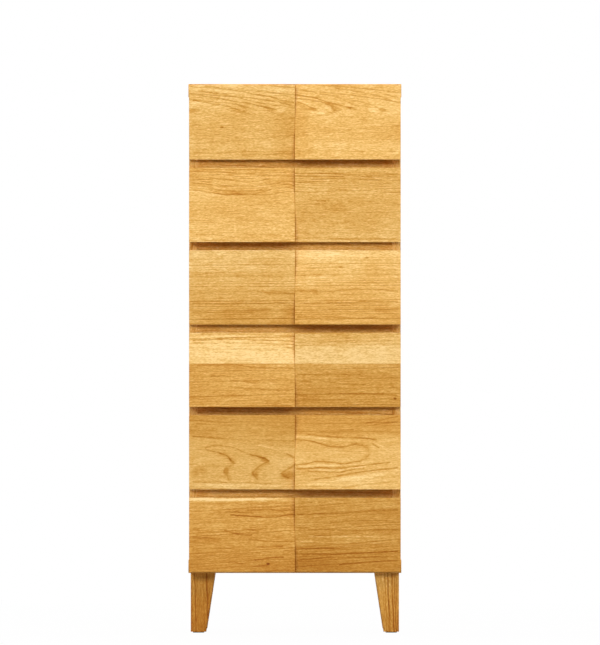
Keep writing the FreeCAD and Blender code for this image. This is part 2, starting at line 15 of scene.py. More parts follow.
import bpy
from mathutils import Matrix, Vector


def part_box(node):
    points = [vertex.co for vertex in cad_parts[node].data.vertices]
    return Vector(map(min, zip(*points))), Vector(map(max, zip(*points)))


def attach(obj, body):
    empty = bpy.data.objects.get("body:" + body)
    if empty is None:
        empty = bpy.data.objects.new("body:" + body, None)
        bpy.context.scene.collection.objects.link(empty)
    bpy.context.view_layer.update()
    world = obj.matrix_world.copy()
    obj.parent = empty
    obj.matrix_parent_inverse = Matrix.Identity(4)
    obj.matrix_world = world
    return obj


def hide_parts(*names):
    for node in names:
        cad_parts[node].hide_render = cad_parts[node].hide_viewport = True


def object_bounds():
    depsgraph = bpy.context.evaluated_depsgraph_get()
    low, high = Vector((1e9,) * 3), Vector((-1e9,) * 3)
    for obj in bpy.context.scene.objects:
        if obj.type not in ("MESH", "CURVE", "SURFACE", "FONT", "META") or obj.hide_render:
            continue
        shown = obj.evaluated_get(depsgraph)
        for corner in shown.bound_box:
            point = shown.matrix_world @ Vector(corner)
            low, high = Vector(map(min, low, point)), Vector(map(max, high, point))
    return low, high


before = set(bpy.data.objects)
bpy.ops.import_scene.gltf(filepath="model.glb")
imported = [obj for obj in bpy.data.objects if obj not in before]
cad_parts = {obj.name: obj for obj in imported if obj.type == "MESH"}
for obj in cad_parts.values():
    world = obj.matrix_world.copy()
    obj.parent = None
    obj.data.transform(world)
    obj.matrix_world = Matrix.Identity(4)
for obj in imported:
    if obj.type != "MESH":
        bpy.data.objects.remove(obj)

MM = 0.001
ROWS = range(1, 7)
cad_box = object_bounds()
print("pieces from the CAD model:", len(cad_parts))
print("box in mm:", [round(side / MM, 1) for side in cad_box[1] - cad_box[0]])

# %% [markdown]
# ## Working with shader nodes in code
#
# A material is a small graph: a place on the surface goes in, colour, roughness and bump come out.
# In the window the nodes are dragged and wired by hand. In code the same is done by a few short
# helpers: one fills sockets with numbers or wires, one adds a node and fills it, and the others add
# the sums with numbers and vectors that most of the graph is made of.

# %% Helpers for nodes
NODE_STEP = 190


def fill(tree, node, inputs):
    """Fills sockets of a node, in order or by title, each with a wire from an output or a plain value."""
    for key, value in inputs.items() if isinstance(inputs, dict) else enumerate(inputs):
        if isinstance(value, bpy.types.NodeSocket):
            tree.links.new(value, node.inputs[key])
        else:
            node.inputs[key].default_value = value


def put(tree, kind, inputs=(), **settings):
    """Adds one node to a tree, to the right of the last one, sets its own options and fills its sockets."""
    node = tree.nodes.new(kind)
    node.location.x = NODE_STEP * len(tree.nodes)
    for name, value in settings.items():
        setattr(node, name, value)
    fill(tree, node, inputs)
    return node


def calc(tree, operation, *values, clamp=False):
    """Adds a Math node and returns its result."""
    return put(tree, "ShaderNodeMath", values, operation=operation, use_clamp=clamp).outputs[0]


def times(tree, first, second):
    """Multiplies two numbers."""
    return calc(tree, "MULTIPLY", first, second)


def vector(tree, operation, *values):
    """Adds a Vector Math node and returns its result."""
    node = put(tree, "ShaderNodeVectorMath", values, operation=operation)
    return node.outputs["Value" if operation in ("LENGTH", "DOT_PRODUCT") else "Vector"]


# %% [markdown]
# ## Noise, ramps and mixes
#
# Three more nodes do the painting. A noise gives a soft random cloud, and stretching its place
# along the grain makes it streaks. A ramp turns a number into another by a few given stops. A mix
# goes from one colour to another.

# %% Helpers for patterns
def noise(tree, place, detail=2.0, rough=0.5, output="Fac"):
    """Adds a cloud noise of about one blob per unit of place. A single number gives noise along a line."""
    line = place.type == "VALUE"
    inputs = {"W" if line else "Vector": place, "Scale": 1.0, "Detail": detail, "Roughness": rough}
    node = put(tree, "ShaderNodeTexNoise", inputs, noise_dimensions="1D" if line else "3D")
    return node.outputs[output]


def ramp(tree, value, stops):
    """Adds a ramp that gives the level of each stop at its place, and runs evenly between them."""
    node = put(tree, "ShaderNodeValToRGB", {"Fac": value})
    elements = node.color_ramp.elements
    elements.remove(elements[0])
    for count, (place, level) in enumerate(stops):
        stop = elements.new(place) if count else elements[0]
        stop.position = place
        stop.color = (level, level, level, 1)
    return node.outputs["Color"]


def mix(tree, share, first, second):
    """Adds a colour mix: share 0 gives the first colour, and share 1 the second."""
    return put(tree, "ShaderNodeMix", {0: share, 6: first, 7: second}, data_type="RGBA").outputs[2]


def spread(tree, value, low, high):
    """Maps a number from 0 to 1 on to the range from low to high."""
    return calc(tree, "MULTIPLY_ADD", value, high - low, low)


# %% [markdown]
# ## How wood gets its figure
#
# A board is a slice of a log, and its figure is where the slice cuts the year rings. So the finish
# doesn't draw every line: it works out how far each point of the board lies from the heart of the
# log, and the rings are steps of that distance. The log is never straight, it tapers, and it never
# lies parallel to the saw. Where the saw runs along a ring, the taper opens it into the pointed
# arches of plain-sawn oak. Where the saw cuts across the rings, the same rule gives straight lines,
# and on a board's end it gives arcs.
#
# The rule is put in one node group, with the heart's place as an input, so that every board can be
# cut from another part of the log.

# %% Small sums and soft bends
QUARTER_TO_FULL = 4.0


def separate(tree, place):
    """Splits a place into its three numbers."""
    return put(tree, "ShaderNodeSeparateXYZ", (place,)).outputs


def joined(tree, along, depth, up):
    """Puts three numbers together into a place."""
    return put(tree, "ShaderNodeCombineXYZ", (along, depth, up)).outputs[0]


def square(tree, value):
    """Multiplies a number by itself."""
    return times(tree, value, value)


def stretched(tree, place, size, seed):
    """Scales a place to blobs of a size, given as metres along the grain and metres across it."""
    along, across = size
    scaled = vector(tree, "MULTIPLY", place, (1 / along, 1 / across, 1 / across))
    return vector(tree, "ADD", scaled, joined(tree, seed, seed, seed))


def bend(tree, place, size, seed, reach):
    """Pushes a place up to about reach across the grain, by a cloud of the given size."""
    cloud = noise(tree, stretched(tree, place, size, seed), output="Color")
    centred = vector(tree, "SUBTRACT", cloud, (0.5, 0.5, 0.5))
    push = vector(tree, "MULTIPLY", centred, (0.0, QUARTER_TO_FULL, QUARTER_TO_FULL))
    scaled = put(tree, "ShaderNodeVectorMath", {0: push, "Scale": reach}, operation="SCALE")
    return vector(tree, "ADD", place, scaled.outputs[0])


def new_group(name, inputs, outputs):
    """Makes a node group and returns it with what it is given and the node that takes what it gives."""
    tree = bpy.data.node_groups.new(name, "ShaderNodeTree")
    for title, value in inputs.items():
        kind = "NodeSocketVector" if isinstance(value, tuple) else "NodeSocketFloat"
        socket = tree.interface.new_socket(name=title, in_out="INPUT", socket_type=kind)
        socket.default_value = value
    for title, kind in outputs.items():
        tree.interface.new_socket(name=title, in_out="OUTPUT", socket_type=kind)
    return tree, put(tree, "NodeGroupInput").outputs, put(tree, "NodeGroupOutput")


# %% Count the year rings out from the heart
DRIFT_PACE = 0.45
DRIFT_YEARS = 2.2


def count_years(tree, given, bent):
    """Gives the number of the year ring at a place, with a fraction that grows across the ring."""
    along, depth, up = separate(tree, bent)
    over = calc(tree, "SUBTRACT", up, given["Heart Up"])
    over = calc(tree, "SUBTRACT", over, times(tree, along, given["Rise"]))
    off = calc(tree, "SUBTRACT", given["Heart Depth"], depth)
    reach = calc(tree, "SQRT", calc(tree, "ADD", square(tree, over), square(tree, off)))
    reach = calc(tree, "MULTIPLY_ADD", along, given["Taper"], reach)
    reach = calc(tree, "ADD", reach, given["Bulge"])
    years = calc(tree, "ADD", calc(tree, "DIVIDE", reach, given["Ring"]), given["Seed"])
    uneven = noise(tree, times(tree, years, DRIFT_PACE))
    return calc(tree, "MULTIPLY_ADD", uneven, DRIFT_YEARS, years)


# %% [markdown]
# ## Wood darkens as tea does
#
# A brown line in oak isn't grey laid over honey. It is the same honey in a thicker layer: the blue
# is lost first, then the green, and the red stays longest. Each unit of stain multiplies the colour
# by the same three shares, as a deeper cup of tea does. So one number gives pale sapwood, honey,
# brown lines and the dark of a knot, all in one family of colours.
#
# The stain at a point is a sum: the tone of the board, which on some boards holds painted light and
# shade, the year rings, streaks along the grain at two sizes, and the open pores, which are short dark
# dashes that crowd the start of each ring. No two years are alike, so every ring gets a strength of its
# own and the rings aren't evenly wide.

# %% The wood group
RING_BAND = ((0.0, 0.55), (0.05, 1.0), (0.14, 0.7), (0.32, 0.25), (0.6, 0.0), (0.92, 0.05), (1.0, 0.55))
PORE_BAND = ((0.0, 1.0), (0.36, 1.0), (0.44, 0.0), (1.0, 0.0))
SLOW_BEND = (0.15, 0.045)
QUICK_BEND = (0.04, 0.014)
QUICK_SHARE = 0.35
YEAR_STRENGTH = (0.2, 1.6)
RING_FADE = (0.07, 0.012)
FADE_RANGE = (0.0, 2.0)
STREAK = (0.022, 0.0024)
FINE_STREAK = (0.006, 0.0013)
FINE_SHARE = 1.2
PORE = (0.006, 0.0003)
LATE_PORES = 0.4
PATCH = (0.12, 0.035)
PATCH_SHARE = 0.6
LEAST_STAIN = -0.12
ROUGH_WOOD = 0.48
ROUGH_PORE = 0.7


def stained(tree, pale, dye, amount):
    """Multiplies a pale colour down by its dye, once for each unit of the amount."""
    left = [calc(tree, "EXPONENT", times(tree, amount, -loss)) for loss in dye]
    levels = [times(tree, share, level) for share, level in zip(left, pale)]
    return put(tree, "ShaderNodeCombineColor", levels).outputs[0]


def make_wood(name, pale, dye, ring_share, streak_share, pore_share):
    """Makes a node group that gives a wood's colour, roughness and height at a place in a board."""
    inputs = {
        "Place": (0.0, 0.0, 0.0),
        "Heart Up": 0.0,
        "Heart Depth": 0.05,
        "Rise": 0.0,
        "Taper": 0.0,
        "Ring": 0.005,
        "Bend": 0.002,
        "Bulge": 0.0,
        "Figure": 1.0,
        "Streaks": 1.0,
        "Tone And Painted Light": 0.5,
        "Shade": 0.0,
        "Seed": 0.0,
    }
    outputs = {"Colour": "NodeSocketColor", "Roughness": "NodeSocketFloat", "Height": "NodeSocketFloat"}
    tree, given, wanted = new_group(name, inputs, outputs)
    place, seed = given["Place"], given["Seed"]

    bent = bend(tree, place, SLOW_BEND, seed, given["Bend"])
    bent = bend(tree, bent, QUICK_BEND, seed, times(tree, given["Bend"], QUICK_SHARE))
    years = count_years(tree, given, bent)
    band = ramp(tree, calc(tree, "FRACT", years), RING_BAND)
    year = calc(tree, "FLOOR", years)
    chance = put(tree, "ShaderNodeTexWhiteNoise", {"W": year}, noise_dimensions="1D")
    strength = calc(tree, "POWER", chance.outputs["Value"], 2.0)
    band = times(tree, band, spread(tree, strength, *YEAR_STRENGTH))
    fade = noise(tree, stretched(tree, place, RING_FADE, seed), detail=3.0)
    band = times(tree, band, spread(tree, fade, *FADE_RANGE))

    streak = noise(tree, stretched(tree, bent, STREAK, seed), detail=3.0, rough=0.65)
    fine = noise(tree, stretched(tree, bent, FINE_STREAK, seed))
    pores = ramp(tree, noise(tree, stretched(tree, bent, PORE, seed)), PORE_BAND)
    pores = times(tree, pores, spread(tree, band, pore_share * LATE_PORES, pore_share))
    patch = noise(tree, stretched(tree, place, PATCH, seed))

    band = times(tree, band, ring_share)
    stain = calc(tree, "MULTIPLY_ADD", band, given["Figure"], given["Tone And Painted Light"])
    large = times(tree, given["Streaks"], streak_share)
    small = times(tree, given["Streaks"], streak_share * FINE_SHARE)
    for pattern, share in ((streak, large), (fine, small), (patch, PATCH_SHARE)):
        stain = calc(tree, "MULTIPLY_ADD", calc(tree, "SUBTRACT", pattern, 0.5), share, stain)
    stain = calc(tree, "ADD", calc(tree, "ADD", stain, pores), given["Shade"])
    fill(tree, wanted, {
        "Colour": stained(tree, pale, dye, calc(tree, "MAXIMUM", stain, LEAST_STAIN)),
        "Roughness": spread(tree, pores, ROUGH_WOOD, ROUGH_PORE),
        "Height": times(tree, calc(tree, "ADD", stain, pores), -1.0),
    })
    return tree


OAK_PALE = (0.92, 0.612, 0.24)
OAK_DYE = (0.50, 0.89, 1.85)
oak_wood = make_wood("oak wood", OAK_PALE, OAK_DYE, ring_share=0.9, streak_share=1.3, pore_share=0.5)
print("nodes in the oak group:", len(oak_wood.nodes))

# %% [markdown]
# ## Which way the board lies
#
# The group thinks of a board with its grain along the first number, its thickness along the second
# and its width along the third. A drawer front lies just so. A leg stands upright and a top lies
# flat, so their places are turned before they go in. Object coordinates are used, in metres, and
# they stay with the piece when a drawer slides.

# %% Turn a place to the grain
GRAIN = {
    "across the front": (0, 1, 2),
    "flat": (0, 2, 1),
    "upright": (2, 1, 0),
    "upright side": (2, 0, 1),
    "front to back": (1, 0, 2),
}


def board_place(tree, lie, middle=(0.0, 0.0, 0.0)):
    """Gives the place in a board, measured from its middle, with the grain along X."""
    coordinates = put(tree, "ShaderNodeTexCoord")
    centred = vector(tree, "SUBTRACT", coordinates.outputs["Object"], tuple(middle))
    parts = separate(tree, centred)
    return joined(tree, *(parts[axis] for axis in GRAIN[lie]))


# %% [markdown]
# ## Strokes and lines of stain
#
# The rings and streaks give each board its kind of figure. What makes it one certain board is put
# on one by one. A stroke is a soft spot with its place, half length and half height in mm and its
# strength: a smudge at the tip of an arch, a small knot, or, with a negative strength, a pale patch.
# A grain line is a row of points in mm with one half width and strength, and where two pieces of it
# meet only the stronger one counts, so that a line has no beads.
#
# A board has a hundred of these and more, and Blender can only keep some 250 numbers at a time. So
# they work as a queue: each takes the place in the board with the stain so far in the unused depth,
# adds its own stain there and hands the place on.

# %% The stroke group
def make_stroke():
    """Makes the node group that adds one soft-edged stroke to the stain so far."""
    inputs = {
        "Place": (0.0, 0.0, 0.0),
        "Along": 0.0,
        "Up": 0.0,
        "Length": 1.0,
        "Height": 1.0,
        "Slope": 0.0,
        "Strength": 0.0,
    }
    tree, given, wanted = new_group("stroke", inputs, {"Place": "NodeSocketVector"})
    along, stain, up = separate(tree, given["Place"])
    right = calc(tree, "SUBTRACT", along, given["Along"])
    above = calc(tree, "SUBTRACT", up, given["Up"])
    above = calc(tree, "SUBTRACT", above, times(tree, right, given["Slope"]))
    near_end = square(tree, calc(tree, "DIVIDE", right, given["Length"]))
    near_edge = square(tree, calc(tree, "DIVIDE", above, given["Height"]))
    away = square(tree, calc(tree, "ADD", near_end, near_edge))
    shape = calc(tree, "EXPONENT", times(tree, away, -1.0))
    stain = calc(tree, "MULTIPLY_ADD", shape, given["Strength"], stain)
    fill(tree, wanted, (joined(tree, along, stain, up),))
    return tree


# %% The line group
def make_line():
    """Makes the node group that lays one soft straight line over the stain so far."""
    inputs = {
        "Place": (0.0, 0.0, 0.0),
        "From": (0.0, 0.0, 0.0),
        "Run": (0.0, 0.0, 0.0),
        "Run Squared": 1.0,
        "Width": 1.0,
        "Strength": 0.0,
    }
    tree, given, wanted = new_group("grain line", inputs, {"Place": "NodeSocketVector"})
    along, stain, up = separate(tree, given["Place"])
    away = vector(tree, "SUBTRACT", joined(tree, along, 0.0, up), given["From"])
    share = vector(tree, "DOT_PRODUCT", away, given["Run"])
    share = calc(tree, "DIVIDE", share, given["Run Squared"], clamp=True)
    nearest = vector(tree, "MULTIPLY", given["Run"], joined(tree, share, share, share))
    gap = vector(tree, "LENGTH", vector(tree, "SUBTRACT", away, nearest))
    gap = calc(tree, "DIVIDE", gap, given["Width"])
    shape = calc(tree, "EXPONENT", times(tree, square(tree, gap), -1.0))
    laid = times(tree, shape, given["Strength"])
    stronger = calc(tree, "GREATER_THAN", calc(tree, "ABSOLUTE", laid), calc(tree, "ABSOLUTE", stain))
    stain = calc(tree, "MULTIPLY_ADD", calc(tree, "SUBTRACT", laid, stain), stronger, stain)
    fill(tree, wanted, (joined(tree, along, stain, up),))
    return tree


# %% Lay strokes and lines on a board
stroke_group = make_stroke()
line_group = make_line()


def queue(tree, place, group, rows):
    """Sends a place through one copy of a group for each row of values and gives the stain at the end."""
    place = vector(tree, "MULTIPLY", place, (1.0, 0.0, 1.0))
    for values in rows:
        step = put(tree, "ShaderNodeGroup", {"Place": place, **values}, node_tree=group)
        place = step.outputs["Place"]
    return separate(tree, place)[1]


def strokes(tree, place, rows, unit=1.0):
    """Adds up strokes, each given as along, up, half length, half height, strength and maybe a slope."""
    values = []
    for along, up, length, height, strength, *slope in rows:
        values.append({
            "Along": along * MM,
            "Up": up * MM,
            "Length": length * MM,
            "Height": height * MM,
            "Slope": slope[0] if slope else 0.0,
            "Strength": strength * unit,
        })
    return queue(tree, place, stroke_group, values)


def grain_lines(tree, place, rows):
    """Lays grain lines, each given as strength, half width and the points along it in mm."""
    values = []
    for strength, width, *points in rows:
        for start, end in zip(points, points[1:]):
            run = Vector((end[0] - start[0], 0, end[1] - start[1])) * MM
            values.append({
                "From": (start[0] * MM, 0.0, start[1] * MM),
                "Run": run,
                "Run Squared": run.length_squared,
                "Width": width * MM,
                "Strength": strength,
            })
    return queue(tree, place, line_group, values)


def by_height(tree, up, stops, tall):
    """A number that changes with the height above a board's lower edge, by stops given in mm."""
    share = calc(tree, "DIVIDE", up, tall)
    return ramp(tree, share, [(height * MM / tall, level) for height, level in stops])


# %% [markdown]
# ## The finish over the wood
#
# The chest has a thin clear satin coat: it shows no mirror, and the open pores still catch the
# light. That is one Principled shader with a rough gloss, and a bump of a few hundredths of a
# millimetre from the pores and rings.

# %% A finished wood
WOOD_GLOSS = 0.15
BUMP_SHARE = 0.6
BUMP_DEEP = 0.06 * MM


def new_material(name, inputs):
    """Makes a material with its shader's sockets filled and returns it with its node tree and shader."""
    material = bpy.data.materials.new(name)
    material.use_nodes = True
    tree = material.node_tree
    shader = tree.nodes["Principled BSDF"]
    fill(tree, shader, inputs)
    return material, tree, shader


def finish_wood(name, wood, lie, middle, features):
    """Makes a material for one board from the wood group and what is special about the board."""
    material, tree, shader = new_material(name, {"Specular IOR Level": WOOD_GLOSS})
    place = board_place(tree, lie, middle)
    group = put(tree, "ShaderNodeGroup", {"Place": place, **features(tree, place)}, node_tree=wood)
    height = {"Strength": BUMP_SHARE, "Distance": BUMP_DEEP, "Height": group.outputs["Height"]}
    fill(tree, shader, {
        "Base Color": group.outputs["Colour"],
        "Roughness": group.outputs["Roughness"],
        "Normal": put(tree, "ShaderNodeBump", height).outputs[0],
    })
    return material


# %% [markdown]
# ## Six drawer fronts, six boards
#
# Every front was sawn from another board, so each has its own entry in the table below. Heights are
# in mm above the front's lower edge, and lengths are in mm to the right of the middle. The heart
# of the log sits behind the board at a height and a depth. Right behind the face it gives arches,
# and far above or below it gives straight grain. Tone and figure, the strength of the rings, are
# given as stops from the lower edge to the upper one, and swells push the rings out of line. The
# tones grow deeper on the lower rows: partly each board's own colour, partly painted shade where the
# light falls off towards the floor. The drawn lines and stains are what one knows a board by: the
# falling lines of row 1, the long knot of row 2, the pale band of row 4, the arches and the loop of
# row 5 and the pale strip of row 6.

# %% What each front board is like
FRONT_TALL = 158 * MM
FRONT_WOOD = {}
FRONT_WOOD[1] = dict(
    heart=(106, 41), taper=0.067, ring=5.7, bend=1.6, streaks=0.95,
    tone_and_painted_light=((15, 0.3), (30, 0.2), (60, 0.4), (90, 0.4), (112, 0.25)),
    figure=((0, 0.3), (20, 0.15), (96, 0.1), (104, 0.4), (112, 0.5), (158, 0.5)),
    lines=(
        (0.55, 1.4, (-216, 126), (-200, 123), (-176, 118), (-157, 117), (-136, 111), (-122, 106)),
        (0.5, 1.3, (-221, 138), (-204, 136), (-170, 131), (-98, 119), (-56, 110), (-40, 107)),
        (0.45, 1.3, (-204, 146), (-160, 140), (-129, 134), (-98, 127), (-79, 121), (-25, 114), (-3, 109)),
        (0.5, 1.4, (-190, 156), (-148, 150), (-108, 144), (-79, 138), (-51, 133), (-25, 125), (-3, 121)),
        (0.3, 1.2, (-79, 146), (-40, 141), (-3, 131)),
        (0.6, 1.4, (5, 138), (25, 134), (43, 131), (60, 125), (77, 120), (95, 116), (119, 110)),
        (0.3, 1.2, (5, 150), (29, 145), (62, 138), (91, 133), (119, 127), (159, 118), (175, 112)),
        (0.45, 1.3, (5, 123), (20, 118), (34, 111), (44, 108)),
        (0.4, 1.3, (86, 152), (124, 146), (157, 140), (185, 133), (206, 125)),
        (0.35, 1.2, (171, 145), (202, 136), (218, 132)),
        (0.3, 1.2, (-214, 16), (-180, 13), (-112, 17), (-65, 16), (-4, 18)),
        (0.3, 1.2, (-112, 10), (-70, 11), (-18, 12)),
        (0.22, 1.2, (6, 18), (53, 19), (138, 18), (213, 17)),
    ),
    stains=(
        (-216, 105, 14, 5, 0.4),
        (-119, 104, 14, 5, 0.3, -0.15),
        (-58, 111, 9, 3, 0.3, -0.2),
        (38, 108, 11, 3.5, 0.4, -0.15),
        (121, 109, 14, 3, 0.5, -0.15),
        (187, 106, 9, 4, 0.5, -0.2),
        (-103, 105, 13, 6, -0.25),
        (-32, 104, 12, 4, -0.18),
        (165, 107, 14, 5, -0.22),
        (-155, 68, 4, 1.8, 1.1),
        (-8, 52, 42, 52, 0.24),
        (-130, 50, 110, 18, 0.12),
        (-112, 152, 118, 14, -0.1),
        (112, 145, 118, 20, 0.07),
        (112, 8, 118, 12, 0.08),
    ),
)
FRONT_WOOD[2] = dict(
    heart=(-160, 60), taper=0.01, ring=5.0, bend=2.2, streaks=0.95,
    tone_and_painted_light=((15, 0.3), (80, 0.4), (110, 0.3), (158, 0.4)),
    figure=((0, 0.4), (25, 0.2), (95, 0.2), (112, 0.6), (158, 0.7)),
    swells=((-107, 110, 75, 26, 9.0), (120, 92, 70, 22, -6.0)),
    lines=(
        (0.45, 1.2, (-216, 153), (-160, 154), (-84, 154), (-37, 153), (-1, 150)),
        (0.5, 1.3, (-145, 144), (-79, 143), (-42, 142), (-3, 140)),
        (0.4, 1.2, (-216, 134), (-160, 133), (-89, 135), (-32, 132), (-3, 127)),
        (0.5, 1.3, (-219, 127), (-200, 124), (-160, 120), (-131, 118)),
        (0.45, 1.4, (-188, 106), (-169, 103), (-145, 100), (-127, 103), (-84, 102), (-51, 112)),
        (0.35, 1.2, (-183, 114), (-155, 109), (-122, 107), (-89, 108), (-65, 114)),
        (0.4, 1.2, (-37, 125), (-1, 120)),
        (0.3, 1.2, (-18, 118), (-1, 112)),
        (0.45, 1.3, (-209, 15), (-174, 16), (-136, 12), (-98, 8)),
        (0.4, 1.2, (-108, 17), (-65, 16), (-27, 14)),
        (0.4, 1.2, (6, 140), (76, 139), (119, 142), (152, 140), (218, 138)),
        (0.35, 1.1, (48, 147), (138, 148), (218, 145)),
        (0.45, 1.2, (34, 134), (124, 135), (185, 132)),
        (0.35, 1.1, (6, 127), (76, 130), (135, 127)),
        (0.35, 1.3, (72, 112), (119, 111)),
        (0.35, 1.3, (29, 91), (38, 89), (65, 88)),
        (0.35, 1.3, (20, 80), (53, 81)),
        (0.3, 1.5, (65, 69), (95, 68), (124, 71)),
        (0.4, 1.2, (6, 10), (100, 7), (213, 7)),
    ),
    stains=(
        (-140, 106, 46, 6, 0.3),
        (-125, 103, 22, 2.5, 0.3),
        (-15, 136, 16, 12, 0.15),
        (60, 26, 90, 2, -0.15),
        (120, 56, 120, 42, 0.11),
        (112, 9, 118, 12, -0.1),
    ),
)
FRONT_WOOD[3] = dict(
    heart=(-220, 50), taper=-0.01, ring=5.0, bend=1.2, streaks=0.9,
    tone_and_painted_light=((12, 0.55), (30, 0.42), (60, 0.4), (90, 0.22), (108, 0.38), (120, 0.15)),
    figure=((0, 0.7), (60, 0.7), (158, 0.5)),
    lines=(
        (0.4, 1.2, (-190, 109), (-148, 110)),
        (0.35, 1.2, (-183, 117), (-167, 117)),
        (0.35, 1.2, (-216, 66), (-174, 66)),
        (0.5, 1.3, (-79, 70), (-42, 67), (-1, 66)),
        (0.5, 1.4, (-216, 45), (-136, 44), (-79, 45), (-13, 46)),
        (0.35, 1.6, (-216, 27), (-183, 26), (-65, 30), (-1, 31)),
        (0.45, 1.2, (6, 72), (100, 71), (124, 75), (171, 75), (218, 71)),
        (0.3, 1.2, (95, 64), (171, 64)),
        (0.5, 1.3, (20, 45), (65, 46), (124, 46), (138, 49), (218, 49)),
        (0.35, 1.2, (25, 120), (100, 122), (124, 118), (218, 117)),
        (0.4, 1.5, (171, 30), (218, 32)),
        (0.45, 1.3, (6, 16), (93, 15), (138, 13), (171, 16)),
    ),
    stains=(
        (175, 33, 60, 4, 0.15),
        (-8, 20, 22, 22, 0.18),
        (40, 150, 60, 9, -0.18),
        (110, 9, 120, 11, -0.17),
        (152, 142, 5, 1.5, 0.5),
        (98, 122, 5, 1.5, 0.5),
    ),
)
FRONT_WOOD[4] = dict(
    heart=(260, 60), taper=0.02, ring=6.0, bend=1.8, streaks=1.0,
    tone_and_painted_light=((50, 0.6), (70, 0.65), (92, 0.55), (93, 0), (130, 0.08), (158, 0.25)),
    figure=((0, 0.5), (92, 0.5), (93, 0.1), (120, 0.3), (135, 0.7), (158, 0.8)),
    lines=(
        (0.4, 1.3, (-200, 155), (-160, 156), (-65, 153), (-4, 152)),
        (0.65, 1.3, (-216, 142), (-160, 144), (-112, 143), (-51, 142), (-4, 140)),
        (0.5, 1.2, (-216, 136), (-89, 136), (-4, 133)),
        (0.38, 1.2, (-190, 123), (-112, 124), (-70, 121), (-37, 122)),
        (0.25, 1.2, (-169, 117), (-136, 116)),
        (0.35, 1.2, (-23, 130), (-1, 122)),
        (0.6, 1.3, (-207, 89), (-136, 90), (-112, 88), (-105, 85), (-65, 84), (-4, 82)),
        (0.58, 1.3, (-178, 66), (-152, 66), (-131, 64)),
        (0.65, 1.3, (-136, 57), (-103, 54), (-84, 51)),
        (0.6, 1.3, (-141, 43), (-98, 40), (-65, 37), (-23, 36), (-4, 37)),
        (0.3, 1.3, (-216, 48), (-183, 47)),
        (0.54, 1.3, (6, 69), (53, 68), (100, 69), (138, 69)),
        (0.47, 1.3, (6, 55), (34, 54)),
        (0.47, 1.3, (76, 53), (119, 48), (150, 48)),
        (0.54, 1.5, (6, 37), (20, 36)),
        (0.47, 1.4, (95, 28), (171, 27), (216, 25)),
        (0.54, 2.0, (6, 24), (25, 24)),
    ),
    stains=(
        (-140, 24, 16, 3, 0.2),
        (30, 14, 24, 6, 0.2),
        (12, 135, 14, 9, 0.15),
        (-112, 140, 118, 26, -0.13),
        (112, 148, 118, 18, 0.17),
        (-112, 40, 118, 50, -0.08),
        (213, 18.5, 3, 2, 1.3),
        (211, 18, 12, 5, 0.2),
    ),
)
